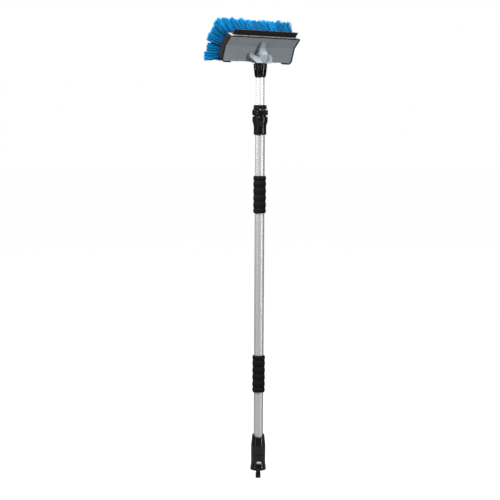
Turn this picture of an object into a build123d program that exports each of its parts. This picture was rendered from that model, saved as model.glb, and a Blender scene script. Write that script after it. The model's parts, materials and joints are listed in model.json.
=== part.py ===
from build123d import *
import os
from math import cos, radians, sin

# A telescopic, water-fed wash brush with a squeegee: a hose plug and a shut-off valve at the foot,
# a lower pole with two foam grips, a twist lock, a sliding upper pole, a cone nut and a bent brush head.
# Millimetres. +Z runs up the pole, +X along the head, +Y to the bristle side. The origin is on the
# pole's axis, on the end face of the hose plug.

os.makedirs("parts", exist_ok=True)

# Clearances
loose_gap = 0.3  # between pieces that move past each other without guiding
running_gap = 0.05  # between a guided piece and its guide

# Broken edges of the moulded pieces
small_break = 1.0
break_size = 1.5
large_break = 2.0

# Tubes
lower_tube_od = 25.0
lower_tube_wall = 1.0
upper_tube_od = 22.0
upper_tube_wall = 1.0
lower_tube_length = 860.0
upper_tube_extra = 96.5  # how much longer it is than the lower tube
telescope_travel = 700.0

# Hose plug and its seal
plug_diameter = 13.4
plug_bore = 9.0
plug_nose_length = 9.0
plug_ring_groove = 2.4
plug_land = 2.2
plug_catch_groove = 3.4
plug_catch_depth = 1.2
plug_visible_length = 21.0
plug_shank_diameter = 16.0
plug_shank_length = 12.0
ring_depth = 1.4

# Valve body, thumb slider and spool
valve_facing = -35.0  # the way the thumb slider faces, in degrees about the pole from -Y
valve_height = 40.3
valve_foot_step = 1.9  # how far the foot stands out past the waist
valve_waist_step = 0.2  # how far the end sleeve stands out past the waist
valve_foot_rise = 5.0
valve_waist_rise = 20.0
valve_foot_radius = 2.5
port_diameter = 9.6
port_height = 4.0
chamber_wall = 2.0  # of the end sleeve's spigot, which enters the chamber
slider_width = 13.0
slider_height = 7.0
slider_thickness = 2.4
slider_travel = 6.0
slider_pocket_depth = 3.6
thumb_ridge_height = 2.6
thumb_ridge_width = 3.4
thumb_ridge_draft = 12  # degrees
stem_diameter = 4.0
stem_rise = 1.0  # of the stem over the slider's middle
slider_below_seam = 20.0
spool_length = 22.0
spool_ring_groove = 2.0

# End sleeve
end_sleeve_height = 52.8
end_sleeve_foot_wall = 6.4
end_sleeve_top_wall = 3.5
end_sleeve_straight = 24.0
end_sleeve_floor = 11.0
end_sleeve_shoulder = 4.0  # under the tube's end
sleeve_spigot_length = 2.5
mouth_scoop = 7.0  # how deep the sleeve's mouth is cut away over the slider
seam_gap = 1.2

# Foam grips
grip_length = 96.0
grip_crest_wall = 4.1
grip_neck_wall = 2.6
grip_pitch = 18.0
grip_full_bumps = 4
lower_grip_height = 225.5
upper_grip_height = 691.5

# Twist lock
lock_sleeve_height = 47.5
lock_sleeve_wall = 3.8
lock_sleeve_flare_wall = 7.3
lock_sleeve_straight = 23.0
lock_flare_rise = 12.0
tube_engagement = 40.0
bush_flange = 2.0
retaining_lip = 2.0
spigot_wall = 1.5
spigot_length = 15.0
cone_mouth_room = 2.7  # round the upper tube, for the collet
cone_foot_room = 1.3
collet_lift = 2.0  # off the floor of the mouth
collet_flange_inset = 1.0
collet_flange_height = 2.0
collet_slit = 1.6
collet_slits = 6
lock_seam = 2.0
lock_nut_height = 26.8
lock_nut_flare_step = 0.7  # how far the nut stands out past the lock sleeve
lock_nut_top_wall = 1.8
lock_nut_flare_height = 15.0
lock_nut_ribs = 10
lock_nut_flute_depth = 1.3
crown_flute_depth = 0.8
wiper_height = 3.5
wiper_width = 2.2
wiper_ledge = 1.5  # under the wiper

# Piston at the foot of the upper tube
piston_head = 14.0
piston_bore = 10.0
piston_shank_length = 20.0
piston_stand_off = 1.0
piston_ring_groove = 2.4
wear_ring_groove = 6.0
wear_ring_split = 1.2
piston_land = 1.6

# Coupling between the upper tube and the head
spigot_shank_length = 25.0
spigot_flange = 4.0
water_bore = 10.0
washer_height = 2.0
connector_height = 35.3
connector_foot_wall = 1.85
connector_top_wall = 5.2
connector_wall = 2.2  # where the cone leaves the upper tube
connector_straight = 10.4  # at the top, nearly upright
connector_flutes = 12
flute_radius = 2.8
connector_flute_depth = 1.8
thread_step = 1.7  # how far the head's thread stands out past the upper tube
thread_length = 20.0
connector_lip = 4.0

# Brush head: the back surface is bent along X. Its side view is three points (y, rise above the thread)
head_foot = (13.2, 9.4)
head_bend = (0.8, 47.5)
head_top = (-19.1, 69.3)
head_length = 238.0
corner_radius = 7.0
top_corner_radius = 2.5
cover_thickness = 3.0
block_thickness = 13.0
channel_width = 10.0
channel_depth = 6.0
channel_inset = 21.0
gasket_width = 2.5
gasket_height = 1.0
jet_count = 8
jet_diameter = 2.0

# Bumper, rail and squeegee blade
bumper_thickness = 3.4
bumper_proud = 1.4
bumper_depth = 14.0
bumper_wrap = 29.0
rail_depth = 7.6
rail_width = 6.0
rail_height = 8.0
rail_floor = 1.5
blade_root = 3.0
blade_tip = 1.4
blade_reach = 17.1
blade_inset = 9.0
blade_bead = 4.0

# Pole socket
neck_diameter = 28.0
brace_reach = 32.0
brace_up = 18.0
brace_tip_radius = 6.0
brace_root_radius = 12.0
brace_tip_height = 5.0
neck_rise = 9.0  # of the bare neck below the head
socket_bore = 8.0
column_width = 22.0
column_tip_width = 11.0
column_foot_width = 10.0
column_rise = 56.0
column_proud = 4.6
screw_diameter = 3.0
screw_head_diameter = 5.5
screw_head_height = 1.8
screw_bite = 3.2
port_up = 20.0  # of the water way, up the lower facet from its foot
port_radius = 4.0
column_bow = 4.5  # how much deeper the column is over the bend
column_lean = 2.5

# Bristles
bristle_rows = 5
bristle_length = 50.0
bristle_lowest = 2.0  # degrees above level
bristle_highest = 50.0
bristle_inset = 4.0
bristle_flare = 12.0  # how far each end leans out over the length
bristle_root_thickness = 8.0
bristle_gap = 0.6
tuft_depth = 2.0  # how far the tufts stand in the block
row_margin = 9.5  # from the front's edge to the nearest row


def ring_profile(inner, outer, bottom, top):
    """Draws the half section of a plain ring in the open sketch."""
    with BuildLine() as outline:
        Polyline((inner, bottom), (outer, bottom), (outer, top), (inner, top), close=True)
    make_face(outline.edges())


def save(part, name):
    part.label = name
    export_step(part, f"parts/{name}.step")


# Diameters that follow the tubes and the pieces on them
upper_tube_length = lower_tube_length + upper_tube_extra
end_sleeve_bore = lower_tube_od - 2 * end_sleeve_shoulder
end_sleeve_foot_diameter = lower_tube_od + 2 * end_sleeve_foot_wall
end_sleeve_top_diameter = lower_tube_od + 2 * end_sleeve_top_wall
chamber_diameter = end_sleeve_bore + 2 * chamber_wall
valve_waist_diameter = end_sleeve_foot_diameter - 2 * valve_waist_step
valve_foot_diameter = valve_waist_diameter + 2 * valve_foot_step
lock_sleeve_diameter = lower_tube_od + 2 * lock_sleeve_wall
lock_sleeve_flare_diameter = lower_tube_od + 2 * lock_sleeve_flare_wall
cone_mouth_diameter = upper_tube_od + 2 * cone_mouth_room
cone_foot_diameter = upper_tube_od + 2 * cone_foot_room
spigot_diameter = cone_mouth_diameter + 2 * spigot_wall
collet_flange_diameter = spigot_diameter - 2 * collet_flange_inset
lock_nut_flare_diameter = lock_sleeve_flare_diameter + 2 * lock_nut_flare_step
lock_nut_top_diameter = spigot_diameter + 2 * lock_nut_top_wall
thread_diameter = upper_tube_od + 2 * thread_step
connector_foot_diameter = upper_tube_od + 2 * connector_foot_wall
connector_top_diameter = thread_diameter + 2 * connector_top_wall

# Heights along the pole, from the foot up
valve_foot = plug_visible_length
shank_top = valve_foot + plug_shank_length
port_top = shank_top + port_height
seam = valve_foot + valve_height
sleeve_foot = seam + seam_gap
sleeve_top = sleeve_foot + end_sleeve_height
tube_foot = sleeve_foot + end_sleeve_floor
tube_top = tube_foot + lower_tube_length
lock_foot = tube_top - tube_engagement
lock_top = lock_foot + lock_sleeve_height
lip_foot = tube_top + bush_flange
mouth_foot = lip_foot + retaining_lip
spigot_top = lock_top + spigot_length
nut_foot = lock_top + lock_seam
nut_top = nut_foot + lock_nut_height
piston_foot = tube_foot + piston_stand_off
upper_foot = piston_foot + piston_head
upper_top = upper_foot + upper_tube_length
flange_top = upper_top + spigot_flange
washer_top = flange_top + washer_height
neck_foot = washer_top + loose_gap
thread_top = neck_foot + thread_length
connector_foot = upper_top - connector_lip - loose_gap

lower_tube_radius = lower_tube_od / 2
lower_bore_radius = lower_tube_radius - lower_tube_wall
upper_tube_radius = upper_tube_od / 2
upper_bore_radius = upper_tube_radius - upper_tube_wall
passing_radius = upper_tube_radius + loose_gap

# ---------------------------------------------------------------- hose plug
plug_radius = plug_diameter / 2
ring_foot = plug_nose_length
catch_foot = ring_foot + plug_ring_groove + plug_land
catch_radius = plug_radius - plug_catch_depth
groove_radius = plug_radius - ring_depth
with BuildPart() as hose_plug:
    with BuildSketch(Plane.XZ):
        with BuildLine():
            Polyline(
                (plug_bore / 2, 0),
                (plug_radius, 0),
                (plug_radius, ring_foot),
                (groove_radius, ring_foot),
                (groove_radius, ring_foot + plug_ring_groove),
                (plug_radius, ring_foot + plug_ring_groove),
                (plug_radius, catch_foot),
                (catch_radius, catch_foot + plug_catch_depth),
                (catch_radius, catch_foot + plug_catch_groove),
                (plug_radius, catch_foot + plug_catch_groove),
                (plug_radius, valve_foot),
                (plug_shank_diameter / 2, valve_foot),
                (plug_shank_diameter / 2, shank_top),
                (plug_bore / 2, shank_top),
                close=True,
            )
        make_face()
    revolve(axis=Axis.Z)
save(hose_plug.part, "hose_plug")

with BuildPart() as plug_o_ring:
    with BuildSketch(Plane.XZ) as ring_section:
        ring_profile(groove_radius, plug_radius - running_gap, ring_foot, ring_foot + plug_ring_groove)
        fillet(ring_section.vertices().group_by(Axis.X)[-1], radius=ring_depth / 3)
    revolve(axis=Axis.Z)
save(plug_o_ring.part, "plug_o_ring")

# ---------------------------------------------------------------- valve
valve_frame = Plane.XY.rotated((0, 0, valve_facing))
slider_level = seam - slider_below_seam
stem_level = slider_level + stem_rise
pocket_height = slider_height + slider_travel + 2 * loose_gap
pocket_foot = slider_level - slider_height / 2 - loose_gap
pocket_level = pocket_foot + pocket_height / 2
pocket_face = valve_waist_diameter / 2 - slider_pocket_depth
slot_height = stem_diameter + slider_travel + 2 * loose_gap
slot_foot = stem_level - stem_diameter / 2 - loose_gap
front = Plane(origin=(0, 0, 0), x_dir=valve_frame.x_dir, z_dir=-valve_frame.y_dir)
shank_hole_radius = plug_shank_diameter / 2
with BuildPart() as valve_body:
    with BuildSketch(Plane.XZ) as body_section:
        with BuildLine():
            Polyline(
                (shank_hole_radius, valve_foot),
                (valve_foot_diameter / 2, valve_foot),
                (valve_foot_diameter / 2, valve_foot + valve_foot_rise),
                (valve_waist_diameter / 2, valve_foot + valve_waist_rise),
                (valve_waist_diameter / 2, seam),
                (chamber_diameter / 2, seam),
                (chamber_diameter / 2, port_top),
                (port_diameter / 2, port_top),
                (port_diameter / 2, shank_top),
                (shank_hole_radius, shank_top),
                close=True,
            )
        make_face()
        outer_foot = body_section.vertices().sort_by(Axis.X)[-2:].sort_by(Axis.Y)[0]
        fillet(outer_foot, radius=valve_foot_radius)
    revolve(axis=Axis.Z)
    with BuildSketch(front.offset(pocket_face)):
        with Locations((0, pocket_level)):
            RectangleRounded(slider_width + 2 * loose_gap, pocket_height, slider_height / 2)
    extrude(amount=valve_foot_diameter, mode=Mode.SUBTRACT)
    with BuildSketch(front):
        with Locations((0, slot_foot + slot_height / 2)):
            SlotOverall(slot_height, stem_diameter + 2 * loose_gap, rotation=90)
    extrude(amount=valve_foot_diameter, mode=Mode.SUBTRACT)
save(valve_body.part, "valve_body")

body_seal_radius = (chamber_diameter / 2 + valve_waist_diameter / 2) / 2
with BuildPart() as body_seal:
    with BuildSketch(Plane.XZ):
        ring_profile(chamber_diameter / 2, body_seal_radius, seam, sleeve_foot)
    revolve(axis=Axis.Z)
save(body_seal.part, "body_seal")

spool_foot = port_top - port_height + loose_gap
spool_radius = port_diameter / 2 - loose_gap
spool_ring_foot = spool_foot + (port_height - spool_ring_groove) / 2 - loose_gap
with BuildPart() as valve_spool:
    with BuildSketch(Plane.XZ):
        with BuildLine():
            Polyline(
                (0, spool_foot),
                (spool_radius, spool_foot),
                (spool_radius, spool_ring_foot),
                (spool_radius - ring_depth, spool_ring_foot),
                (spool_radius - ring_depth, spool_ring_foot + spool_ring_groove),
                (spool_radius, spool_ring_foot + spool_ring_groove),
                (spool_radius, spool_foot + spool_length),
                (0, spool_foot + spool_length),
                close=True,
            )
        make_face()
    revolve(axis=Axis.Z)
save(valve_spool.part, "valve_spool")

with BuildPart() as spool_o_ring:
    with BuildSketch(Plane.XZ):
        ring_profile(
            spool_radius - ring_depth,
            port_diameter / 2 - running_gap,
            spool_ring_foot,
            spool_ring_foot + spool_ring_groove,
        )
    revolve(axis=Axis.Z)
save(spool_o_ring.part, "spool_o_ring")

slider_back = pocket_face + loose_gap
with BuildPart() as thumb_slider:
    with BuildSketch(front.offset(slider_back)):
        with Locations((0, slider_level)):
            RectangleRounded(slider_width, slider_height, slider_height / 2 - 0.1)
    extrude(amount=slider_thickness)
    with BuildSketch(front.offset(slider_back + slider_thickness)):
        with Locations((0, slider_level)):
            Ellipse(slider_width / 2 - 1, thumb_ridge_width / 2)
    extrude(amount=thumb_ridge_height, taper=thumb_ridge_draft)
    with BuildSketch(front.offset(spool_radius)):
        with Locations((0, stem_level)):
            Circle(stem_diameter / 2)
    extrude(until=Until.NEXT)
save(thumb_slider.part, "thumb_slider")

# ---------------------------------------------------------------- end sleeve
spigot_outer = chamber_diameter / 2
with BuildPart() as end_sleeve:
    with BuildSketch(Plane.XZ):
        with BuildLine():
            Polyline(
                (end_sleeve_bore / 2, seam - sleeve_spigot_length),
                (spigot_outer, seam - sleeve_spigot_length),
                (spigot_outer, sleeve_foot),
                (end_sleeve_foot_diameter / 2, sleeve_foot),
                (end_sleeve_foot_diameter / 2, sleeve_foot + end_sleeve_straight),
                (end_sleeve_top_diameter / 2, sleeve_top - small_break),
                (end_sleeve_top_diameter / 2 - small_break, sleeve_top),
                (lower_tube_radius + small_break, sleeve_top),
                (lower_tube_radius, sleeve_top - large_break),
                (lower_tube_radius, tube_foot),
                (end_sleeve_bore / 2, tube_foot),
                close=True,
            )
        make_face()
    revolve(axis=Axis.Z)
    with BuildSketch(front):
        with Locations((0, sleeve_top)):
            Ellipse(lower_tube_radius, mouth_scoop)
    extrude(amount=end_sleeve_foot_diameter, mode=Mode.SUBTRACT)
save(end_sleeve.part, "end_sleeve")

# ---------------------------------------------------------------- lower pole
with BuildPart() as lower_tube:
    with BuildSketch(Plane.XY.offset(tube_foot)):
        Circle(lower_tube_radius)
        Circle(lower_bore_radius, mode=Mode.SUBTRACT)
    extrude(amount=lower_tube_length)
save(lower_tube.part, "lower_tube")

crest = lower_tube_radius + grip_crest_wall
neck = lower_tube_radius + grip_neck_wall
end_bump = (grip_length - grip_full_bumps * grip_pitch) / 2
for name, foot in (("lower_grip", lower_grip_height), ("upper_grip", upper_grip_height)):
    with BuildPart() as grip:
        with BuildSketch(Plane.XZ):
            with BuildLine():
                top = foot + grip_length
                Line((lower_tube_radius, foot), (neck, foot))
                ThreePointArc((neck, foot), (crest, foot + end_bump * 0.45), (neck, foot + end_bump))
                for bump in range(grip_full_bumps):
                    start = foot + end_bump + bump * grip_pitch
                    middle = start + grip_pitch / 2
                    ThreePointArc((neck, start), (crest, middle), (neck, start + grip_pitch))
                ThreePointArc((neck, top - end_bump), (crest, top - end_bump * 0.45), (neck, top))
                Polyline((neck, top), (lower_tube_radius, top), (lower_tube_radius, foot))
            make_face()
        revolve(axis=Axis.Z)
    save(grip.part, name)

# ---------------------------------------------------------------- twist lock
flare = lock_sleeve_flare_diameter / 2
with BuildPart() as lock_sleeve:
    with BuildSketch(Plane.XZ):
        with BuildLine():
            Polyline(
                (lower_tube_radius, lock_foot),
                (lock_sleeve_diameter / 2 - small_break, lock_foot),
                (lock_sleeve_diameter / 2, lock_foot + small_break),
                (lock_sleeve_diameter / 2, lock_foot + lock_sleeve_straight),
                (flare, lock_foot + lock_sleeve_straight + lock_flare_rise),
                (flare, lock_top - large_break),
                (flare - large_break, lock_top),
                (spigot_diameter / 2, lock_top),
                (spigot_diameter / 2, spigot_top),
                (cone_mouth_diameter / 2, spigot_top),
                (cone_foot_diameter / 2, mouth_foot),
                (passing_radius, mouth_foot),
                (passing_radius, lip_foot),
                (lower_tube_radius, lip_foot),
                close=True,
            )
        make_face()
    revolve(axis=Axis.Z)
save(lock_sleeve.part, "lock_sleeve")

# The travel ends where the piston meets the foot of this bush.
bush_foot = upper_foot + telescope_travel + piston_stand_off
guide_radius = upper_tube_radius + running_gap
with BuildPart() as stop_bush:
    with BuildSketch(Plane.XZ):
        with BuildLine():
            Polyline(
                (guide_radius, bush_foot),
                (lower_bore_radius, bush_foot),
                (lower_bore_radius, tube_top),
                (lower_tube_radius, tube_top),
                (lower_tube_radius, lip_foot),
                (guide_radius, lip_foot),
                close=True,
            )
        make_face()
    revolve(axis=Axis.Z)
save(stop_bush.part, "stop_bush")

# The collet's cone runs beside the mouth of the lock sleeve, one loose gap inside it.
cone_slope = (cone_mouth_diameter - cone_foot_diameter) / 2 / (spigot_top - mouth_foot)
collet_foot = mouth_foot + collet_lift
collet_foot_radius = cone_foot_diameter / 2 + cone_slope * collet_lift - loose_gap
collet_mouth_radius = cone_mouth_diameter / 2 - loose_gap
collet_flange_foot = spigot_top + loose_gap
collet_top = collet_flange_foot + collet_flange_height
with BuildPart() as lock_collet:
    with BuildSketch(Plane.XZ):
        with BuildLine():
            Polyline(
                (passing_radius, collet_foot),
                (collet_foot_radius, collet_foot),
                (collet_mouth_radius, spigot_top),
                (collet_mouth_radius, collet_flange_foot),
                (collet_flange_diameter / 2, collet_flange_foot),
                (collet_flange_diameter / 2, collet_top),
                (passing_radius, collet_top),
                close=True,
            )
        make_face()
    revolve(axis=Axis.Z)
    with BuildSketch(Plane.XY.offset(collet_foot)):
        with PolarLocations(collet_flange_diameter / 2, collet_slits):
            Rectangle(collet_flange_diameter / 2, collet_slit)
    extrude(amount=collet_flange_foot - collet_foot, mode=Mode.SUBTRACT)
save(lock_collet.part, "lock_collet")

nut_bore = spigot_diameter / 2 + loose_gap
nut_shoulder = collet_top + loose_gap
wiper_foot = nut_shoulder + wiper_ledge
wiper_top = wiper_foot + wiper_height
wiper_radius = passing_radius + wiper_width
nut_flare = lock_nut_flare_diameter / 2
nut_crown = lock_nut_top_diameter / 2
with BuildPart() as lock_nut:
    with BuildSketch(Plane.XZ):
        with BuildLine():
            Polyline(
                (nut_bore, nut_foot),
                (nut_flare - large_break, nut_foot),
                (nut_flare, nut_foot + large_break),
                (nut_flare, nut_foot + lock_nut_flare_height - large_break),
                (nut_crown, nut_foot + lock_nut_flare_height + small_break),
                (nut_crown, nut_top - break_size),
                (nut_crown - break_size, nut_top),
                (passing_radius, nut_top),
                (passing_radius, wiper_top),
                (wiper_radius, wiper_top),
                (wiper_radius, wiper_foot),
                (passing_radius, wiper_foot),
                (passing_radius, nut_shoulder),
                (nut_bore, nut_shoulder),
                close=True,
            )
        make_face()
    revolve(axis=Axis.Z)
    with BuildSketch(Plane.XY.offset(nut_foot)):
        with PolarLocations(nut_flare + flute_radius - lock_nut_flute_depth, lock_nut_ribs):
            Circle(flute_radius)
    extrude(amount=lock_nut_flare_height, mode=Mode.SUBTRACT)
    with BuildSketch(Plane.XY.offset(nut_foot + lock_nut_flare_height)):
        with PolarLocations(nut_crown + flute_radius - crown_flute_depth, lock_nut_ribs):
            Circle(flute_radius)
    extrude(amount=lock_nut_height - lock_nut_flare_height, mode=Mode.SUBTRACT)
save(lock_nut.part, "lock_nut")

with BuildPart() as wiper_seal:
    with BuildSketch(Plane.XZ):
        ring_profile(passing_radius, wiper_radius, wiper_foot, wiper_top)
    revolve(axis=Axis.Z)
save(wiper_seal.part, "wiper_seal")

# ---------------------------------------------------------------- upper pole
with BuildPart() as upper_tube:
    with BuildSketch(Plane.XY.offset(upper_foot)):
        Circle(upper_tube_radius)
        Circle(upper_bore_radius, mode=Mode.SUBTRACT)
    extrude(amount=upper_tube_length)
save(upper_tube.part, "upper_tube")

# The piston plugs the upper tube; below the tube its head carries the O-ring and the wear ring.
piston_radius = lower_bore_radius - loose_gap
groove_floor = piston_radius - ring_depth
piston_ring_foot = piston_foot + piston_land
wear_foot = upper_foot - piston_land - wear_ring_groove
with BuildPart() as piston:
    with BuildSketch(Plane.XZ):
        with BuildLine():
            Polyline(
                (piston_bore / 2, piston_foot),
                (piston_radius, piston_foot),
                (piston_radius, piston_ring_foot),
                (groove_floor, piston_ring_foot),
                (groove_floor, piston_ring_foot + piston_ring_groove),
                (piston_radius, piston_ring_foot + piston_ring_groove),
                (piston_radius, wear_foot),
                (groove_floor, wear_foot),
                (groove_floor, wear_foot + wear_ring_groove),
                (piston_radius, wear_foot + wear_ring_groove),
                (piston_radius, upper_foot),
                (upper_bore_radius, upper_foot),
                (upper_bore_radius, upper_foot + piston_shank_length),
                (piston_bore / 2, upper_foot + piston_shank_length),
                close=True,
            )
        make_face()
    revolve(axis=Axis.Z)
save(piston.part, "piston")

piston_ring_top = piston_ring_foot + piston_ring_groove
guided_radius = lower_bore_radius - running_gap
with BuildPart() as piston_o_ring:
    with BuildSketch(Plane.XZ):
        ring_profile(groove_floor, guided_radius, piston_ring_foot, piston_ring_top)
    revolve(axis=Axis.Z)
save(piston_o_ring.part, "piston_o_ring")

wear_top = wear_foot + wear_ring_groove - loose_gap
with BuildPart() as wear_ring:
    with BuildSketch(Plane.XZ):
        ring_profile(groove_floor + loose_gap, guided_radius, wear_foot + loose_gap, wear_top)
    revolve(axis=Axis.Z)
    with BuildSketch(Plane.XY.offset(wear_foot)):
        with Locations((lower_bore_radius, 0)):
            Rectangle(lower_bore_radius, wear_ring_split)
    extrude(amount=wear_ring_groove, mode=Mode.SUBTRACT)
save(wear_ring.part, "wear_ring")

# ---------------------------------------------------------------- coupling
thread_radius = thread_diameter / 2
water_radius = water_bore / 2
with BuildPart() as tube_spigot:
    with BuildSketch(Plane.XZ):
        with BuildLine():
            Polyline(
                (water_radius, upper_top - spigot_shank_length),
                (upper_bore_radius, upper_top - spigot_shank_length),
                (upper_bore_radius, upper_top),
                (thread_radius, upper_top),
                (thread_radius, flange_top),
                (water_radius, flange_top),
                close=True,
            )
        make_face()
    revolve(axis=Axis.Z)
save(tube_spigot.part, "tube_spigot")

with BuildPart() as hose_washer:
    with BuildSketch(Plane.XZ):
        ring_profile(water_radius + 1, thread_radius - 1, flange_top, washer_top)
    revolve(axis=Axis.Z)
save(hose_washer.part, "hose_washer")

connector_top = connector_foot + connector_height
connector_bore = thread_radius + loose_gap
foot_radius = connector_foot_diameter / 2
top_radius = connector_top_diameter / 2
with BuildPart() as connector_nut:
    with BuildSketch(Plane.XZ):
        with BuildLine():
            Polyline(
                (passing_radius, connector_foot),
                (foot_radius, connector_foot),
                (thread_radius + connector_wall, upper_top + small_break),
                (top_radius - small_break, connector_top - connector_straight),
                (top_radius, connector_top - break_size),
                (top_radius - break_size, connector_top),
                (connector_bore + large_break, connector_top),
                (connector_bore, connector_top - large_break),
                (connector_bore, upper_top - loose_gap),
                (passing_radius, upper_top - loose_gap),
                close=True,
            )
        make_face()
    revolve(axis=Axis.Z)
    # The flutes stand upright, so they run out where the cone gets narrower.
    with BuildSketch(Plane.XY.offset(connector_top)):
        with PolarLocations(top_radius + flute_radius - connector_flute_depth, connector_flutes):
            Circle(flute_radius)
    extrude(amount=-connector_height, mode=Mode.SUBTRACT)
save(connector_nut.part, "connector_nut")

# ---------------------------------------------------------------- head frame
thread_end = Vector(0, thread_top)
foot_point = Vector(*head_foot) + thread_end
bend_point = Vector(*head_bend) + thread_end
top_point = Vector(*head_top) + thread_end
lower_run = (bend_point - foot_point).normalized()
upper_run = (top_point - bend_point).normalized()
chord_run = (top_point - foot_point).normalized()


def outward(run):
    """The direction square to a run of the side view, towards the bristles."""
    return Vector(run.Y, -run.X)


def layer(near, far, reach=30.0):
    """The head's side view between two depths below its bent back surface, as points (y, z)."""
    lower_out = outward(lower_run)
    upper_out = outward(upper_run)
    mitre = (lower_out + upper_out).normalized()
    stretch = 1 / mitre.dot(lower_out)
    points = []
    for depth, backwards in ((near, False), (far, True)):
        side = [
            foot_point + lower_out * depth - lower_run * reach,
            bend_point + mitre * (depth * stretch),
            top_point + upper_out * depth + upper_run * reach,
        ]
        points += reversed(side) if backwards else side
    return [(point.X, point.Y) for point in points]


def in_space(point, x=0.0):
    """A point or direction of the side view, placed at x along the head."""
    return Vector(x, point.X, point.Y)


chord_out = in_space(outward(chord_run))
chord_middle = in_space((foot_point + top_point) * 0.5)
chord_height = (top_point - foot_point).length
head_face = Plane(origin=chord_middle, x_dir=(-1, 0, 0), z_dir=chord_out)
lower_back = Plane(origin=in_space(foot_point), x_dir=(1, 0, 0), z_dir=-in_space(outward(lower_run)))
head_depth = cover_thickness + block_thickness
blade_length = head_length - 2 * blade_inset
channel_length = head_length - 2 * channel_inset
bristle_root_length = head_length - 2 * bristle_inset
through = 80.0  # more than the head's depth


def head_outline(margin):
    """The head seen square to its chord, with close corners above and rounder ones below."""
    with BuildSketch() as outline:
        Rectangle(head_length + 2 * margin, chord_height + 2 * margin)
        fillet(outline.vertices().group_by(Axis.Y)[0], radius=corner_radius + margin)
        fillet(outline.vertices().group_by(Axis.Y)[-1], radius=top_corner_radius + margin)
    return outline.sketch


def head_slab(near, far, margin):
    """The head's rounded outline, bent along its back, between two depths, as a part."""
    with BuildPart() as slab:
        with BuildSketch(Plane.YZ):
            with BuildLine():
                Polyline(*layer(near, far), close=True)
            make_face()
        extrude(amount=head_length, both=True)
        with BuildSketch(head_face):
            add(head_outline(margin))
        extrude(amount=through, both=True, mode=Mode.INTERSECT)
    return slab.part


# The water way from the socket through the cover lies square to the lower facet.
lower_out = in_space(outward(lower_run))
port_point = in_space(foot_point + lower_run * port_up)
port_plane = Plane(origin=port_point, x_dir=(1, 0, 0), z_dir=lower_out)

screw_spots = [(-brace_reach, brace_up), (brace_reach, brace_up)]


def top_edge_part(section, length):
    """A part along the head's top edge, with a side view of (along the upper facet, depth) points."""
    upper_out = outward(upper_run)
    places = [top_point + upper_run * along + upper_out * depth for along, depth in section]
    with BuildPart() as strip:
        with BuildSketch(Plane.YZ):
            with BuildLine():
                Polyline(*[(place.X, place.Y) for place in places], close=True)
            make_face()
        extrude(amount=length / 2, both=True)
    return strip.part


def below_top_edge(depth):
    """Where the head's top edge lies at a depth, along the upper facet from its top point."""
    return depth * chord_run.dot(outward(upper_run)) / chord_run.dot(upper_run)


rail_near = rail_depth - rail_width / 2
rail_far = rail_depth + rail_width / 2
rail_foot = -below_top_edge(rail_far) - rail_height
rail_section = [
    (rail_foot, rail_near),
    (rail_foot, rail_far),
    (-below_top_edge(rail_far), rail_far),
    (-below_top_edge(rail_near), rail_near),
]
rail_bar = top_edge_part(rail_section, blade_length)
blade_foot = rail_foot + rail_floor
blade_section = [
    (blade_foot, rail_depth - blade_bead / 2),
    (blade_foot, rail_depth + blade_bead / 2),
    (blade_foot + blade_bead / 2, rail_depth + blade_bead / 2),
    (blade_foot + blade_bead / 2, rail_depth + blade_root / 2),
    (blade_reach, rail_depth + blade_tip / 2),
    (blade_reach, rail_depth - blade_tip / 2),
    (blade_foot + blade_bead / 2, rail_depth - blade_root / 2),
    (blade_foot + blade_bead / 2, rail_depth - blade_bead / 2),
]
blade_bar = top_edge_part(blade_section, blade_length)

# ---------------------------------------------------------------- cover, gasket and block
with BuildPart() as back_cover:
    add(head_slab(0, cover_thickness, 0))
    with BuildSketch(port_plane):
        Circle(port_radius)
    extrude(amount=cover_thickness, mode=Mode.SUBTRACT)
    with BuildSketch(lower_back):
        with Locations(*screw_spots):
            Circle(screw_diameter / 2)
    extrude(amount=-cover_thickness, mode=Mode.SUBTRACT)
save(back_cover.part, "back_cover")

block_back = port_plane.offset(cover_thickness)
channel_size = (channel_length, channel_width)
gasket_size = (channel_length + 2 * gasket_width, channel_width + 2 * gasket_width)
with BuildPart() as brush_block:
    add(head_slab(cover_thickness, head_depth, 0))
    with BuildSketch(block_back):
        RectangleRounded(*gasket_size, corner_radius / 2)
    extrude(amount=gasket_height, mode=Mode.SUBTRACT)
    with BuildSketch(block_back):
        RectangleRounded(*channel_size, corner_radius / 3)
    extrude(amount=channel_depth, mode=Mode.SUBTRACT)
    with BuildSketch(block_back):
        with GridLocations(channel_length / jet_count, 1, jet_count, 1):
            Circle(jet_diameter / 2)
    extrude(amount=block_thickness, mode=Mode.SUBTRACT)
    # The rebate in the top edge holds the blade's rail, and pockets clear the socket screws' heads.
    add(rail_bar, mode=Mode.SUBTRACT)
    with BuildSketch(lower_back.offset(-cover_thickness)):
        with Locations(*screw_spots):
            Circle(screw_head_diameter / 2)
    extrude(amount=-screw_head_height, mode=Mode.SUBTRACT)
save(brush_block.part, "brush_block")

with BuildPart() as cover_gasket:
    with BuildSketch(block_back):
        RectangleRounded(*gasket_size, corner_radius / 2)
        RectangleRounded(*channel_size, corner_radius / 3, mode=Mode.SUBTRACT)
    extrude(amount=gasket_height)
save(cover_gasket.part, "cover_gasket")

# ---------------------------------------------------------------- rail, blade and bumper
with BuildPart() as blade_rail:
    add(rail_bar)
    add(blade_bar, mode=Mode.SUBTRACT)
save(blade_rail.part, "blade_rail")

with BuildPart() as squeegee_blade:
    add(blade_bar)
save(squeegee_blade.part, "squeegee_blade")

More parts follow.
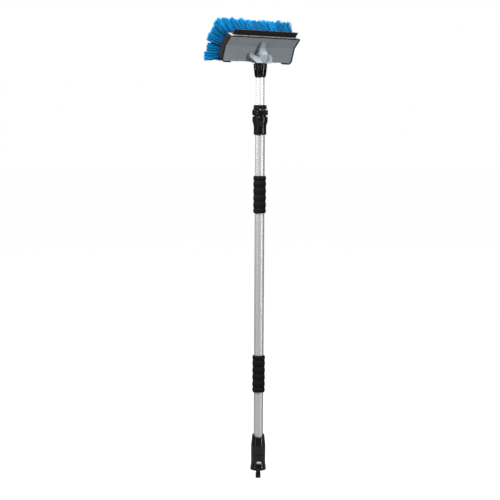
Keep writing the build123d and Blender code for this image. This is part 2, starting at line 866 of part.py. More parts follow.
bumper_gap = head_length - 2 * bumper_wrap
with BuildPart() as bumper:
    add(head_slab(-bumper_proud, bumper_depth, bumper_thickness))
    with BuildSketch(head_face):
        add(head_outline(0))
    extrude(amount=through, both=True, mode=Mode.SUBTRACT)
    with BuildSketch(head_face):
        with Locations((0, -chord_height / 2)):
            Rectangle(bumper_gap, corner_radius + bumper_thickness)
    extrude(amount=through, both=True, mode=Mode.SUBTRACT)
    add(blade_bar, mode=Mode.SUBTRACT)
save(bumper.part, "bumper")

# ---------------------------------------------------------------- pole socket
neck_radius = neck_diameter / 2
neck_top = foot_point.Y + neck_rise
bore_plane = Plane.XY.offset(neck_foot)
bore_top = port_point.Z


def side_prism(points, width):
    """A part with a side view of (y, z) points and a width along the head."""
    with BuildPart() as prism:
        with BuildSketch(Plane.YZ):
            with BuildLine():
                Polyline(*[(point.X, point.Y) for point in points], close=True)
            make_face()
        extrude(amount=width / 2, both=True)
    return prism.part


lower_normal = outward(lower_run)
upper_normal = outward(upper_run)
collar_foot = connector_top + 2 * loose_gap
neck_back = Vector(-neck_radius, collar_foot)
socket_root = Vector(0, collar_foot)
inside = 2.0  # how far the rough shapes reach into the cover, where they are trimmed
brace_end = foot_point + lower_run * (brace_up + brace_tip_radius)
brace_side = [
    neck_back,
    brace_end - lower_normal * brace_tip_height,
    brace_end + lower_normal * inside,
    foot_point + lower_normal * inside,
    socket_root,
]
column_end = bend_point + upper_run * (column_rise - (bend_point - foot_point).length)
column_side = [
    neck_back,
    neck_back + Vector(-column_lean, 2.4 * neck_rise),
    bend_point - lower_normal * (column_proud + column_bow),
    column_end - upper_normal * column_proud,
    column_end + upper_normal * inside,
    bend_point + lower_normal * inside * 2,
    foot_point + lower_normal * inside,
    socket_root,
]
with BuildPart() as braces:
    for side in (-1, 1):
        with BuildSketch(lower_back.offset(-inside)):
            Circle(brace_root_radius)
            with Locations((side * brace_reach, brace_up)):
                Circle(brace_tip_radius)
            make_hull()
        extrude(amount=2 * neck_diameter)
    add(side_prism(brace_side, head_length), mode=Mode.INTERSECT)

# The column gets narrower from the bend up, seen from behind.
column_front = [
    (-column_foot_width / 2, collar_foot),
    (column_foot_width / 2, collar_foot),
    (column_width / 2, foot_point.Y + brace_up),
    (column_width / 2, bend_point.Y - column_rise / 4),
    (column_tip_width / 2, column_end.Y + column_proud),
    (-column_tip_width / 2, column_end.Y + column_proud),
    (-column_width / 2, bend_point.Y - column_rise / 4),
    (-column_width / 2, foot_point.Y + brace_up),
]
with BuildPart() as column:
    add(side_prism(column_side, head_length))
    with BuildSketch(Plane.XZ):
        with BuildLine():
            Polyline(*column_front, close=True)
        make_face()
    extrude(amount=through, both=True, mode=Mode.INTERSECT)

with BuildPart() as pole_socket:
    add(braces.part)
    add(column.part)
    with BuildSketch(Plane.XY.offset(collar_foot)):
        Circle(neck_radius)
    extrude(amount=neck_top - collar_foot)
    with BuildSketch(bore_plane):
        Circle(thread_radius)
    extrude(amount=collar_foot - neck_foot)
    add(head_slab(0, through, 0), mode=Mode.SUBTRACT)
    with BuildSketch(bore_plane):
        Circle(socket_bore / 2)
    extrude(amount=bore_top - neck_foot, mode=Mode.SUBTRACT)
    with BuildSketch(port_plane.offset(-socket_bore)):
        Circle(port_radius)
    extrude(amount=2 * socket_bore, mode=Mode.SUBTRACT)
    with BuildSketch(lower_back):
        with Locations(*screw_spots):
            Circle(screw_diameter / 2)
    extrude(amount=screw_bite, mode=Mode.SUBTRACT)
save(pole_socket.part, "pole_socket")

with BuildPart() as socket_screws:
    with BuildSketch(lower_back.offset(-cover_thickness)):
        with Locations(*screw_spots):
            Circle(screw_diameter / 2)
    extrude(amount=cover_thickness + screw_bite)
    with BuildSketch(lower_back.offset(-cover_thickness)):
        with Locations(*screw_spots):
            Circle(screw_head_diameter / 2)
    extrude(amount=-screw_head_height)
save(socket_screws.part, "socket_screws")

# ---------------------------------------------------------------- bristles
mitre = (lower_normal + upper_normal).normalized()
front_bend = bend_point + mitre * (head_depth / mitre.dot(lower_normal))
front_foot = foot_point + lower_normal * head_depth
front_top = top_point + upper_normal * head_depth
front_lower = (front_bend - front_foot).length
front_length = front_lower + (front_top - front_bend).length
row_pitch = (front_length - 2 * row_margin) / (bristle_rows - 1)
row_turn = (bristle_highest - bristle_lowest) / (bristle_rows - 1)
tip_thickness = row_pitch + bristle_length * radians(row_turn) - bristle_gap
for row in range(bristle_rows):
    along = row_margin + row * row_pitch
    angle = radians(bristle_lowest + row * row_turn)
    if along < front_lower:
        root = front_foot + lower_run * along
    else:
        root = front_bend + upper_run * (along - front_lower)
    lean = Vector(cos(angle), sin(angle))
    with BuildPart() as tufts:
        root_plane = Plane(in_space(root - lean * tuft_depth), x_dir=(1, 0, 0), z_dir=in_space(lean))
        with BuildSketch(root_plane):
            Rectangle(bristle_root_length, bristle_root_thickness)
        with BuildSketch(root_plane.offset(tuft_depth + bristle_length)):
            Rectangle(bristle_root_length + 2 * bristle_flare, tip_thickness)
        loft()
    save(tufts.part, f"bristles_row_{row + 1}")
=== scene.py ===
import json
import math

import bpy
import numpy as np
from bpy.props import FloatProperty, FloatVectorProperty, IntProperty, PointerProperty
from mathutils import Matrix, Vector

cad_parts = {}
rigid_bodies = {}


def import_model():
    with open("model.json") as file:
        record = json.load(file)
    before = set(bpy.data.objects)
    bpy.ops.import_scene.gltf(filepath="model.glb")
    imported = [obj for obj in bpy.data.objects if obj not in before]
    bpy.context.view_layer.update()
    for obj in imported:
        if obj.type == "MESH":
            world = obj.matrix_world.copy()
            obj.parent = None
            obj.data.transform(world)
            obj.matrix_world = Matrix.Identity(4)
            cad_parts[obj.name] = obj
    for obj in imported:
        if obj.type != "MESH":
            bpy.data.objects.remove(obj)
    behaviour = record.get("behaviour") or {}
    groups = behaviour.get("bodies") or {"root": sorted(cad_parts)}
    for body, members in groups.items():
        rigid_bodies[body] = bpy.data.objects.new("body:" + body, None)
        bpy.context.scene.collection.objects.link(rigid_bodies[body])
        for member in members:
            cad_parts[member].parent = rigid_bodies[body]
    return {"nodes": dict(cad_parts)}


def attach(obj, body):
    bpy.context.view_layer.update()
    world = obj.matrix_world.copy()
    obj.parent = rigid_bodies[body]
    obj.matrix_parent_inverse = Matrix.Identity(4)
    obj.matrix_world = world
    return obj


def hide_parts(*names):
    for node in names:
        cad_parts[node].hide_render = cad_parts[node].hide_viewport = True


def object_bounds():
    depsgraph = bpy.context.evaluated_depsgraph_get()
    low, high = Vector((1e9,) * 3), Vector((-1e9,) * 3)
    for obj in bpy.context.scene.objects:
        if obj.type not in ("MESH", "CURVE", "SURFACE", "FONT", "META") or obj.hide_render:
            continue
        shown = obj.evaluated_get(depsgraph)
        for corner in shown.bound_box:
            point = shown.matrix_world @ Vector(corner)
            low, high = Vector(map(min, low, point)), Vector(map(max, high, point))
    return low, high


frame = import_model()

bl_info = {
    "name": "Telescopic Wash Brush",
    "version": (1, 0, 0),
    "blender": (4, 5, 0),
    "location": "View3D > Sidebar > Wash Brush",
    "description": "Dresses a telescopic wash brush with bristles, finishes and a studio",
    "category": "Object",
}

CAD_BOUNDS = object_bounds()
LOW, HIGH = (Vector(corner) for corner in CAD_BOUNDS)
ROWS = sorted(node for node in frame["nodes"] if node.startswith("bristles_row_"))

# How strands scatter. Shares are of the strand's own length or of the tuft's spread.
STAGGER = 0.25
END_SLICE = 0.001
BESIDE_FALL = 0.3
LENGTH_SCATTER = 0.007
CLUMP_LENGTH = 0.02
CLUMP_ALONG = 0.0018
CLUMP_BESIDE = 0.002
SPREAD_ALONG = 0.66
SPREAD_BESIDE = 1.2
STRAND_RINGS = (0.0, 0.3, 0.58, 0.8, 0.93, 1.0)
STRAND_SIDES = 3
BEND_POWER = 2.4
TIP_THINNING = 0.3
CLUMP_TONE = 0.2
TONE_SCATTER = 0.1

FLOOR_HALF = 30.0


# ---------------------------------------------------------------- settings


class BristleSettings(bpy.types.PropertyGroup):
    """How the tufts are set in the head and how their strands spread."""

    tufts: IntProperty(name="Tufts", description="Tufts along each row", default=20, min=2)
    strands: IntProperty(name="Strands", description="Strands in each tuft", default=170, min=4)
    strand_width: FloatProperty(
        name="Strand width",
        description="Width of a strand at its root",
        default=0.0013,
        unit="LENGTH",
    )
    hole_width: FloatProperty(
        name="Hole width",
        description="Width of the hole a tuft is set in",
        default=0.0085,
        unit="LENGTH",
    )
    row_width: FloatProperty(
        name="Row width",
        description="Width of a row of tufts where it leaves the head",
        default=0.0115,
        unit="LENGTH",
    )
    spread: FloatProperty(
        name="Spread",
        description="How far a tuft's tips stand from its middle",
        default=0.0098,
        unit="LENGTH",
    )
    dome: FloatProperty(
        name="Dome",
        description="How much shorter the outer strands of a tuft are",
        default=0.004,
        unit="LENGTH",
    )
    curl: FloatProperty(
        name="Curl",
        description="How far a strand bends aside at its tip",
        default=0.0009,
        unit="LENGTH",
    )
    seed: IntProperty(name="Seed", description="Seed of the strands' scatter", default=7)


class FinishSettings(bpy.types.PropertyGroup):
    """Colours of the finishes."""

    black: FloatVectorProperty(
        name="Black plastic",
        description="Moulded sleeves and nuts",
        subtype="COLOR",
        default=(0.0035, 0.0036, 0.0039),
    )
    plate: FloatVectorProperty(
        name="Grey plastic",
        description="Back cover and brush block",
        subtype="COLOR",
        default=(0.232, 0.265, 0.284),
    )
    socket: FloatVectorProperty(
        name="Silver plastic",
        description="Pole socket",
        subtype="COLOR",
        default=(0.32, 0.37, 0.395),
    )
    tube: FloatVectorProperty(
        name="Aluminium", description="Both tubes", subtype="COLOR", default=(0.80, 0.81, 0.82)
    )
    foam: FloatVectorProperty(
        name="Foam", description="Grips", subtype="COLOR", default=(0.0035, 0.0035, 0.0037)
    )
    rubber: FloatVectorProperty(
        name="Rubber",
        description="Bumper and squeegee blade",
        subtype="COLOR",
        default=(0.006, 0.0048, 0.0044),
    )
    # Painted top light: the light grey that the bumper's upward faces are blended to, a painted highlight
    # of the lamps above.
    painted_top_light: FloatVectorProperty(
        name="Rubber, painted top light",
        description="Upper faces of the bumper",
        subtype="COLOR",
        default=(0.26, 0.24, 0.23),
    )
    bristle_root: FloatVectorProperty(
        name="Bristle root",
        description="Strands near the head",
        subtype="COLOR",
        default=(0.0002, 0.035, 0.14),
    )
    bristle_tip: FloatVectorProperty(
        name="Bristle tip",
        description="Strands at their split ends",
        subtype="COLOR",
        default=(0.0006, 0.225, 0.48),
    )


class StageSettings(bpy.types.PropertyGroup):
    """Camera, floor and lamps."""

    azimuth: FloatProperty(
        name="Azimuth",
        description="Turn of the camera round the pole",
        subtype="ANGLE",
        default=math.radians(-42.5),
    )
    distance: FloatProperty(
        name="Distance", description="Camera to pole", default=4.5, unit="LENGTH"
    )
    eye_height: FloatProperty(
        name="Eye height",
        description="Height of the camera over the foot",
        default=0.9,
        unit="LENGTH",
    )
    aim_height: FloatProperty(
        name="Aim height", description="Height the camera looks at", default=0.5955, unit="LENGTH"
    )
    aim_side: FloatProperty(
        name="Aim side",
        description="How far beside the pole the camera looks",
        default=0.0241,
        unit="LENGTH",
    )
    lens: FloatProperty(name="Lens", description="Focal length in millimetres", default=125.4)
    roll: FloatProperty(
        name="Roll", description="Lean of the camera", subtype="ANGLE", default=math.radians(0.306)
    )
    floor_drop: FloatProperty(
        name="Floor drop", description="Floor below the hose plug", default=0.004, unit="LENGTH"
    )


# ---------------------------------------------------------------- node helpers


def new_group(name, inputs, outputs):
    """An empty shader node group with named sockets, as (group, input node, output node)."""
    group = bpy.data.node_groups.new(name, "ShaderNodeTree")
    for title, kind, value in inputs:
        socket = group.interface.new_socket(title, in_out="INPUT", socket_type=kind)
        socket.default_value = value
    for title, kind in outputs:
        group.interface.new_socket(title, in_out="OUTPUT", socket_type=kind)
    return group, group.nodes.new("NodeGroupInput"), group.nodes.new("NodeGroupOutput")


def add_node(tree, kind, **values):
    """A node with some of its attributes set."""
    node = tree.nodes.new(kind)
    for key, value in values.items():
        setattr(node, key, value)
    return node


def grain_group():
    """Fine pebble of a moulded or foamed skin, as a height."""
    name = "Skin grain"
    if name in bpy.data.node_groups:
        return bpy.data.node_groups[name]
    group, source, sink = new_group(
        name,
        [("Scale", "NodeSocketFloat", 800.0), ("Softness", "NodeSocketFloat", 0.5)],
        [("Height", "NodeSocketFloat")],
    )
    link = group.links.new
    place = add_node(group, "ShaderNodeTexCoord")
    noise = add_node(group, "ShaderNodeTexNoise", noise_dimensions="3D")
    noise.inputs["Detail"].default_value = 3.0
    link(place.outputs["Object"], noise.inputs["Vector"])
    link(source.outputs["Scale"], noise.inputs["Scale"])
    link(source.outputs["Softness"], noise.inputs["Roughness"])
    link(noise.outputs["Fac"], sink.inputs["Height"])
    return group


def mottle_group():
    """Slow, cloudy change between two colours, as age and handling leave on plastic and metal."""
    name = "Handling mottle"
    if name in bpy.data.node_groups:
        return bpy.data.node_groups[name]
    group, source, sink = new_group(
        name,
        [
            ("Clean", "NodeSocketColor", (0.5, 0.5, 0.5, 1)),
            ("Handled", "NodeSocketColor", (0.4, 0.4, 0.4, 1)),
            ("Scale", "NodeSocketFloat", 30.0),
        ],
        [("Color", "NodeSocketColor"), ("Mask", "NodeSocketFloat")],
    )
    link = group.links.new
    place = add_node(group, "ShaderNodeTexCoord")
    noise = add_node(group, "ShaderNodeTexNoise")
    noise.inputs["Detail"].default_value = 5.0
    noise.inputs["Roughness"].default_value = 0.6
    link(place.outputs["Object"], noise.inputs["Vector"])
    link(source.outputs["Scale"], noise.inputs["Scale"])
    mask = add_node(group, "ShaderNodeMapRange", interpolation_type="SMOOTHSTEP")
    mask.inputs["From Min"].default_value = 0.4
    mask.inputs["From Max"].default_value = 0.72
    link(noise.outputs["Fac"], mask.inputs["Value"])
    mix = add_node(group, "ShaderNodeMix", data_type="RGBA")
    link(mask.outputs["Result"], mix.inputs["Factor"])
    link(source.outputs["Clean"], mix.inputs["A"])
    link(source.outputs["Handled"], mix.inputs["B"])
    link(mix.outputs["Result"], sink.inputs["Color"])
    link(mask.outputs["Result"], sink.inputs["Mask"])
    return group


def drawn_group():
    """Fine lines along Z that drawing leaves on a tube, as a roughness."""
    name = "Drawn lines"
    if name in bpy.data.node_groups:
        return bpy.data.node_groups[name]
    group, source, sink = new_group(
        name,
        [
            ("Across", "NodeSocketFloat", 900.0),
            ("Smooth", "NodeSocketFloat", 0.28),
            ("Rough", "NodeSocketFloat", 0.42),
        ],
        [("Roughness", "NodeSocketFloat")],
    )
    link = group.links.new
    place = add_node(group, "ShaderNodeTexCoord")
    stretch = add_node(group, "ShaderNodeMapping")
    stretch.inputs["Scale"].default_value = (1.0, 1.0, 0.012)
    noise = add_node(group, "ShaderNodeTexNoise")
    noise.inputs["Detail"].default_value = 4.0
    link(place.outputs["Object"], stretch.inputs["Vector"])
    link(stretch.outputs["Vector"], noise.inputs["Vector"])
    link(source.outputs["Across"], noise.inputs["Scale"])
    spread = add_node(group, "ShaderNodeMapRange")
    spread.inputs["From Min"].default_value = 0.3
    spread.inputs["From Max"].default_value = 0.7
    link(noise.outputs["Fac"], spread.inputs["Value"])
    link(source.outputs["Smooth"], spread.inputs["To Min"])
    link(source.outputs["Rough"], spread.inputs["To Max"])
    link(spread.outputs["Result"], sink.inputs["Roughness"])
    return group


def use_group(tree, group, **values):
    """A group node in a material, with its inputs set."""
    node = add_node(tree, "ShaderNodeGroup", node_tree=group)
    for title, value in values.items():
        node.inputs[title].default_value = value
    return node


def new_material(name, **sockets):
    """A Principled material with plain socket values, as (material, tree, shader)."""
    material = bpy.data.materials.new(name)
    material.use_nodes = True
    shader = material.node_tree.nodes["Principled BSDF"]
    for title, value in sockets.items():
        shader.inputs[title.replace("_", " ")].default_value = value
    return material, material.node_tree, shader


def add_bump(tree, shader, height, strength, distance):
    """Feeds a height to the shader's normal."""
    bump = add_node(tree, "ShaderNodeBump")
    bump.inputs["Strength"].default_value = strength
    bump.inputs["Distance"].default_value = distance
    tree.links.new(height, bump.inputs["Height"])
    tree.links.new(bump.outputs["Normal"], shader.inputs["Normal"])
    return bump


def darker(colour, share):
    return tuple(part * share for part in colour[:3]) + (1.0,)


def moulded(name, colour, roughness, tone_shift, grain_scale, grain_depth, rounding=0.0006, **sockets):
    """Moulded plastic or rubber: a mottled colour, a mottled roughness and a fine skin grain."""
    material, tree, shader = new_material(name, **sockets)
    link = tree.links.new
    mottle = use_group(
        tree, mottle_group(), Clean=darker(colour, 1.0), Handled=darker(colour, tone_shift), Scale=22.0
    )
    link(mottle.outputs["Color"], shader.inputs["Base Color"])
    spread = add_node(tree, "ShaderNodeMapRange")
    spread.inputs["To Min"].default_value = roughness
    spread.inputs["To Max"].default_value = min(1.0, roughness * 1.3)
    link(mottle.outputs["Mask"], spread.inputs["Value"])
    link(spread.outputs["Result"], shader.inputs["Roughness"])
    grain = use_group(tree, grain_group(), Scale=grain_scale, Softness=0.55)
    bump = add_bump(tree, shader, grain.outputs["Height"], 0.35, grain_depth)
    if rounding:
        edge = add_node(tree, "ShaderNodeBevel", samples=4)
        edge.inputs["Radius"].default_value = rounding
        link(edge.outputs["Normal"], bump.inputs["Normal"])
    return material


def painted_top_light(material, colour):
    """Paints top light: blends the faces of a moulded material that look up to a light grey, as a painted
    highlight from the lamps above.
    """
    tree = material.node_tree
    link = tree.links.new
    shader = tree.nodes["Principled BSDF"]
    clean = shader.inputs["Base Color"].links[0].from_socket
    face = add_node(tree, "ShaderNodeNewGeometry")
    parts = add_node(tree, "ShaderNodeSeparateXYZ")
    link(face.outputs["True Normal"], parts.inputs["Vector"])
    # Painted top light: mask of the faces whose normal points up, which are blended to the light grey.
    tone_shift = add_node(tree, "ShaderNodeMapRange")
    tone_shift.inputs["From Min"].default_value = 0.7
    tone_shift.inputs["From Max"].default_value = 0.85
    link(parts.outputs["Z"], tone_shift.inputs["Value"])
    mix = add_node(tree, "ShaderNodeMix", data_type="RGBA")
    mix.inputs["B"].default_value = darker(colour, 1.0)
    link(tone_shift.outputs["Result"], mix.inputs["Factor"])
    link(clean, mix.inputs["A"])
    link(mix.outputs["Result"], shader.inputs["Base Color"])


def tube_metal(name, colour, metallic, smooth, rough):
    """Satin anodised tube with drawing lines along it."""
    material, tree, shader = new_material(name, Metallic=metallic)
    link = tree.links.new
    mottle = use_group(
        tree, mottle_group(), Clean=darker(colour, 1.0), Handled=darker(colour, 0.94), Scale=9.0
    )
    link(mottle.outputs["Color"], shader.inputs["Base Color"])
    drawn = use_group(tree, drawn_group(), Across=500.0, Smooth=smooth, Rough=rough)
    link(drawn.outputs["Roughness"], shader.inputs["Roughness"])
    return material


def bristle_material(name, root, tip):
    """Split nylon strands: darker at the root, each strand its own shade."""
    material, tree, shader = new_material(name, Roughness=0.5)
    shader.inputs["Specular IOR Level"].default_value = 0.06
    link = tree.links.new
    strand = add_node(tree, "ShaderNodeAttribute", attribute_name="strand", attribute_type="GEOMETRY")
    parts = add_node(tree, "ShaderNodeSeparateColor")
    link(strand.outputs["Color"], parts.inputs["Color"])
    ramp = add_node(tree, "ShaderNodeValToRGB")
    ramp.color_ramp.elements[0].color = darker(root, 1.0)
    ramp.color_ramp.elements[1].color = darker(tip, 1.0)
    ramp.color_ramp.elements[0].position = 0.1
    link(parts.outputs["Red"], ramp.inputs["Fac"])
    shade = add_node(tree, "ShaderNodeMix", data_type="RGBA", blend_type="MULTIPLY")
    shade.inputs["Factor"].default_value = 1.0
    tone = add_node(tree, "ShaderNodeMapRange")
    tone.inputs["To Min"].default_value = 0.62
    tone.inputs["To Max"].default_value = 1.25
    link(parts.outputs["Green"], tone.inputs["Value"])
    link(ramp.outputs["Color"], shade.inputs["A"])
    link(tone.outputs["Result"], shade.inputs["B"])
    link(shade.outputs["Result"], shader.inputs["Base Color"])
    return material


def dress(nodes, material):
    """Gives CAD nodes one material each over their whole skin."""
    for node in nodes:
        piece = bpy.data.objects[node]
        piece.data.materials.clear()
        piece.data.materials.append(material)


# ---------------------------------------------------------------- bristles


def row_run(node):
    """A row's root, tip and how far each reaches along X, from its CAD solid."""
    points = np.array([vertex.co for vertex in bpy.data.objects[node].data.vertices])
    flat = points[:, 1:] - points[:, 1:].mean(axis=0)
    axis = np.linalg.svd(flat, full_matrices=False)[2][0]
    axis *= np.sign(axis[0])
    along = flat @ axis
    ends = []
    for end in (points[along < along.min() + END_SLICE], points[along > along.max() - END_SLICE]):
        middle = (end.min(axis=0) + end.max(axis=0)) / 2
        ends.append(np.array((0.0, middle[1], middle[2])))
        ends.append(np.abs(end[:, 0]).max())
    root, root_reach, tip, tip_reach = ends
    return root, tip, root_reach, tip_reach


def strand_mesh(name, settings, node, row):
    """One row of tufts as a mesh of thin, three-sided strands."""
    root, tip, root_reach, tip_reach = row_run(node)
    random = np.random.default_rng(settings.seed + row)
    count = settings.tufts * settings.strands
    tuft = np.repeat(np.arange(settings.tufts), settings.strands)
    stagger = STAGGER if row % 2 else -STAGGER
    place = (tuft + 0.5 + stagger) / settings.tufts * 2 - 1

    # Strands fill a square evenly; it grows from the hole to the tuft's spread tips.
    across = random.uniform(-1, 1, count)
    beside = random.uniform(-1, 1, count)
    fall = across**2 + BESIDE_FALL * beside**2
    length_share = 1 - settings.dome / np.linalg.norm(tip - root) * fall
    length_share = length_share + random.normal(0, LENGTH_SCATTER, count)
    clump = random.normal(0, 1, (settings.tufts, 3))[tuft]
    length_share += clump[:, 0] * CLUMP_LENGTH

    run = tip - root
    side = np.cross((1.0, 0.0, 0.0), run / np.linalg.norm(run))
    x_axis = np.array((1.0, 0.0, 0.0))
    start = root + x_axis * (place * root_reach)[:, None]
    start = start + x_axis * (across * settings.hole_width / 2)[:, None]
    start = start + side * (beside * settings.row_width / 2)[:, None]
    end = root + run * length_share[:, None] + x_axis * (place * tip_reach)[:, None]
    end = end + x_axis * (across * settings.spread * SPREAD_ALONG + clump[:, 1] * CLUMP_ALONG)[:, None]
    end = end + side * (beside * settings.spread * SPREAD_BESIDE + clump[:, 2] * CLUMP_BESIDE)[:, None]
    bend = random.normal(0, settings.curl, (count, 2))

    rings, sides = np.array(STRAND_RINGS), STRAND_SIDES
    corner = np.arange(sides) * 2 * np.pi / sides
    points = np.empty((count, len(rings), sides, 3))
    for ring, along in enumerate(rings):
        middle = start + (end - start) * along
        droop = along**BEND_POWER
        middle = middle + (x_axis * bend[:, :1] + side * bend[:, 1:]) * droop
        thick = settings.strand_width / 2 * (1 - TIP_THINNING * along)
        for k, angle in enumerate(corner):
            points[:, ring, k] = middle + (x_axis * np.cos(angle) + side * np.sin(angle)) * thick

    first = np.arange(count * len(rings) * sides).reshape(count, len(rings), sides)
    near, far = first[:, :-1], first[:, 1:]
    quads = np.stack([near, np.roll(near, -1, 2), np.roll(far, -1, 2), far], axis=-1).reshape(-1, 4)
    caps = first[:, -1]
    mesh = bpy.data.meshes.new(name)
    mesh.from_pydata(points.reshape(-1, 3).tolist(), [], quads.tolist() + caps.tolist())
    mesh.shade_smooth()

    tone = np.clip(0.5 + clump[:, 0] * CLUMP_TONE + random.normal(0, TONE_SCATTER, count), 0, 1)
    colour = np.ones((count, len(rings), sides, 4))
    colour[..., 0] = rings[None, :, None]
    colour[..., 1] = tone[:, None, None]
    layer = mesh.color_attributes.new("strand", "FLOAT_COLOR", "POINT")
    layer.data.foreach_set("color", colour.reshape(-1))
    return mesh


class BRUSH_OT_bristles(bpy.types.Operator):
    """Plant the rows of blue tufts in the brush block"""

    bl_idname = "wash_brush.bristles"
    bl_label = "Bristles"
    bl_options = {"REGISTER", "UNDO"}

    def execute(self, context):
        scene = context.scene
        finish = scene.brush_finish
        blue = bristle_material("Split blue nylon", finish.bristle_root, finish.bristle_tip)
        for row, node in enumerate(ROWS):
            mesh = strand_mesh(f"tufts_{row + 1}", scene.brush_bristles, node, row)
            piece = bpy.data.objects.new(f"tufts_{row + 1}", mesh)
            scene.collection.objects.link(piece)
            mesh.materials.append(blue)
            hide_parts(node)
            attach(piece, "head")
        return {"FINISHED"}


# ---------------------------------------------------------------- finishes


class BRUSH_OT_plastics(bpy.types.Operator):
    """Finish the moulded sleeves, nuts, valve, cover, block and socket"""

    bl_idname = "wash_brush.plastics"
    bl_label = "Moulded plastics"
    bl_options = {"REGISTER", "UNDO"}

    def execute(self, context):
        finish = context.scene.brush_finish
        black = moulded("Glossy black plastic", finish.black, 0.13, 1.5, 900.0, 0.00004)
        black_nodes = ["hose_plug", "valve_body", "end_sleeve", "lock_sleeve", "lock_nut", "connector_nut"]
        dress(black_nodes, black)
        grey = moulded("Satin grey plastic", finish.plate, 0.42, 0.93, 1400.0, 0.00005)
        dress(["back_cover", "brush_block"], grey)
        silver = moulded("Silver plastic", finish.socket, 0.3, 0.95, 1400.0, 0.00003)
        dress(["pole_socket", "thumb_slider"], silver)
        white = moulded("White acetal", (0.72, 0.72, 0.69), 0.4, 0.95, 1200.0, 0.00002)
        dress(["valve_spool", "stop_bush", "lock_collet", "piston", "wear_ring", "tube_spigot"], white)
        return {"FINISHED"}


class BRUSH_OT_rubbers(bpy.types.Operator):
    """Finish the foam grips, the bumper, the blade and the seals"""

    bl_idname = "wash_brush.rubbers"
    bl_label = "Foam and rubber"
    bl_options = {"REGISTER", "UNDO"}

    def execute(self, context):
        finish = context.scene.brush_finish
        foam = moulded("Black foam", finish.foam, 0.7, 1.5, 620.0, 0.0002, Specular_IOR_Level=0.1)
        dress(["lower_grip", "upper_grip"], foam)
        rubber = moulded("Black rubber", finish.rubber, 0.55, 1.6, 1000.0, 0.00003, Specular_IOR_Level=0.3)
        # The bumper's rubber gets painted top light: its upward faces are blended to a light grey
        # highlight.
        edging = moulded(
            "Rubber, painted top light", finish.rubber, 0.6, 2.0, 1000.0, 0.00003,
            rounding=0.001, Specular_IOR_Level=0.12,
        )
        painted_top_light(edging, finish.painted_top_light)
        dress(["bumper"], edging)
        seals = ["plug_o_ring", "body_seal", "spool_o_ring", "wiper_seal", "piston_o_ring"]
        seals += ["hose_washer", "cover_gasket"]
        dress(["squeegee_blade"] + seals, rubber)
        return {"FINISHED"}


class BRUSH_OT_metals(bpy.types.Operator):
    """Finish the two tubes, the blade's rail and the screws"""

    bl_idname = "wash_brush.metals"
    bl_label = "Metals"
    bl_options = {"REGISTER", "UNDO"}

    def execute(self, context):
        finish = context.scene.brush_finish
        lower = tube_metal("Satin aluminium", darker(finish.tube, 0.75), 0.7, 0.42, 0.44)
        upper = tube_metal("Bright aluminium", darker(finish.tube, 0.89), 0.45, 0.38, 0.4)
        dress(["lower_tube", "blade_rail"], lower)
        dress(["upper_tube", "socket_screws"], upper)
        return {"FINISHED"}


# ---------------------------------------------------------------- stage


def lamp(name, place, aim, power, size, tall=None):
    """An area lamp aimed at a point, square unless it is given another height."""
    light = bpy.data.lights.new(name, "AREA")
    light.energy = power
    light.size = size
    if tall:
        light.shape = "RECTANGLE"
        light.size_y = tall
    holder = bpy.data.objects.new(name, light)
    bpy.context.scene.collection.objects.link(holder)
    holder.visible_camera = False
    holder.location = place
    holder.rotation_mode = "QUATERNION"
    holder.rotation_quaternion = (Vector(aim) - Vector(place)).to_track_quat("-Z", "Y")
    return holder


def view_axes(turn):
    """The level directions to the camera's right and back towards the camera."""
    right = Vector((math.cos(turn), math.sin(turn), 0))
    back = Vector((math.sin(turn), -math.cos(turn), 0))
    return right, back


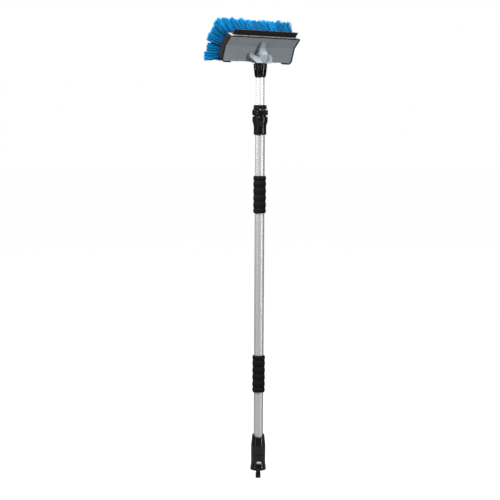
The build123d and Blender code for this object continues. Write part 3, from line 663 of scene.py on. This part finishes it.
class BRUSH_OT_stage(bpy.types.Operator):
    """Set the floor, the world, the lamps and the camera"""

    bl_idname = "wash_brush.stage"
    bl_label = "Stage"
    bl_options = {"REGISTER", "UNDO"}

    def execute(self, context):
        scene = context.scene
        stage = scene.brush_stage
        self.set_world(scene)
        self.lay_floor(scene, stage)
        self.place_lamps(stage)
        self.place_camera(scene, stage)
        return {"FINISHED"}

    def set_world(self, scene):
        """A white sky to the camera, and a dim, even one to the object."""
        world = bpy.data.worlds.new("Studio")
        world.use_nodes = True
        scene.world = world
        tree = world.node_tree
        link = tree.links.new
        seen = tree.nodes["Background"]
        seen.inputs["Color"].default_value = (1, 1, 1, 1)
        seen.inputs["Strength"].default_value = 1.0
        lit = add_node(tree, "ShaderNodeBackground")
        lit.inputs["Color"].default_value = (0.93, 0.96, 1.0, 1)
        lit.inputs["Strength"].default_value = 0.12
        path = add_node(tree, "ShaderNodeLightPath")
        mix = add_node(tree, "ShaderNodeMixShader")
        link(path.outputs["Is Camera Ray"], mix.inputs["Fac"])
        link(lit.outputs["Background"], mix.inputs[1])
        link(seen.outputs["Background"], mix.inputs[2])
        link(mix.outputs["Shader"], tree.nodes["World Output"].inputs["Surface"])
        scene.view_settings.view_transform = "Standard"

    def lay_floor(self, scene, stage):
        mesh = bpy.data.meshes.new("floor")
        half = FLOOR_HALF
        level = LOW.z - stage.floor_drop
        corners = [(-half, -half, level), (half, -half, level), (half, half, level), (-half, half, level)]
        mesh.from_pydata(corners, [], [(0, 1, 2, 3)])
        floor = bpy.data.objects.new("floor", mesh)
        scene.collection.objects.link(floor)
        material, tree, shader = new_material("Pale floor", Roughness=0.9)
        shader.inputs["Base Color"].default_value = (0.2, 0.2, 0.2, 1)
        shader.inputs["Specular IOR Level"].default_value = 0.0
        shader.inputs["Emission Color"].default_value = (1, 1, 1, 1)
        path = add_node(tree, "ShaderNodeLightPath")
        glow = add_node(tree, "ShaderNodeMath", operation="MULTIPLY")
        glow.inputs[1].default_value = 0.97
        tree.links.new(path.outputs["Is Camera Ray"], glow.inputs[0])
        tree.links.new(glow.outputs["Value"], shader.inputs["Emission Strength"])
        mesh.materials.append(material)

    def place_lamps(self, stage):
        right, back = view_axes(stage.azimuth)
        middle = Vector((0, 0, (LOW.z + HIGH.z) / 2))
        top = Vector((0, 0, HIGH.z))
        lamp("key_lamp", middle + back * 1.7 - right * 0.9 + Vector((0, 0, 2.3)), middle, 125, 0.8)
        lamp("fill_lamp", middle + back * 1.6 + right * 1.9 + Vector((0, 0, 1.1)), middle, 28, 0.7)
        lamp("top_lamp", top + Vector((0, 0, 1.4)) + back * 0.15, top, 30, 0.6)
        lamp("rim_lamp", top - back * 1.18 + right * 0.3 + Vector((0, 0, 0.88)), top, 20, 0.9)
        lamp("side_lamp", top - right * 1.6 + back * 0.1 + Vector((0, 0, 0.3)), top, 20, 0.7)
        # Two tall strips draw the bright lines down the glossy sleeves.
        lamp("right_strip", middle + back * 0.9 + right * 1.55, middle, 10, 0.1, 1.8)
        lamp("left_strip", middle + back * 1.2 - right * 1.3, middle, 2, 0.12, 1.8)

    def place_camera(self, scene, stage):
        right, back = view_axes(stage.azimuth)
        data = bpy.data.cameras.new("camera")
        data.lens = stage.lens
        data.sensor_width = 36.0
        data.clip_end = 100.0
        camera = bpy.data.objects.new("camera", data)
        scene.collection.objects.link(camera)
        aside = right * stage.aim_side * -1
        aim = Vector((0, 0, stage.aim_height)) + aside
        camera.location = back * stage.distance + Vector((0, 0, stage.eye_height)) + aside
        facing = (aim - camera.location).to_track_quat("-Z", "Y")
        camera.rotation_mode = "QUATERNION"
        camera.rotation_quaternion = facing @ Matrix.Rotation(stage.roll, 3, "Z").to_quaternion()
        scene.camera = camera


class BRUSH_PT_panel(bpy.types.Panel):
    """Settings and steps of the wash brush"""

    bl_label = "Wash Brush"
    bl_idname = "BRUSH_PT_panel"
    bl_space_type = "VIEW_3D"
    bl_region_type = "UI"
    bl_category = "Wash Brush"

    def draw(self, context):
        for step in STEPS:
            self.layout.operator(step.bl_idname)
        for name, settings in SETTINGS.items():
            box = self.layout.box()
            group = getattr(context.scene, name)
            for key in settings.__annotations__:
                box.prop(group, key)


SETTINGS = {
    "brush_bristles": BristleSettings,
    "brush_finish": FinishSettings,
    "brush_stage": StageSettings,
}
STEPS = (BRUSH_OT_plastics, BRUSH_OT_rubbers, BRUSH_OT_metals, BRUSH_OT_bristles, BRUSH_OT_stage)


def register():
    for group in SETTINGS.values():
        bpy.utils.register_class(group)
    for name, group in SETTINGS.items():
        setattr(bpy.types.Scene, name, PointerProperty(type=group))
    for kind in (*STEPS, BRUSH_PT_panel):
        bpy.utils.register_class(kind)


def unregister():
    for kind in reversed((*STEPS, BRUSH_PT_panel)):
        bpy.utils.unregister_class(kind)
    for name in SETTINGS:
        delattr(bpy.types.Scene, name)
    for group in reversed(SETTINGS.values()):
        bpy.utils.unregister_class(group)


def main():
    register()
    bpy.ops.wash_brush.plastics()
    bpy.ops.wash_brush.rubbers()
    bpy.ops.wash_brush.metals()
    bpy.ops.wash_brush.bristles()
    bpy.ops.wash_brush.stage()


if __name__ == "__main__":
    main()
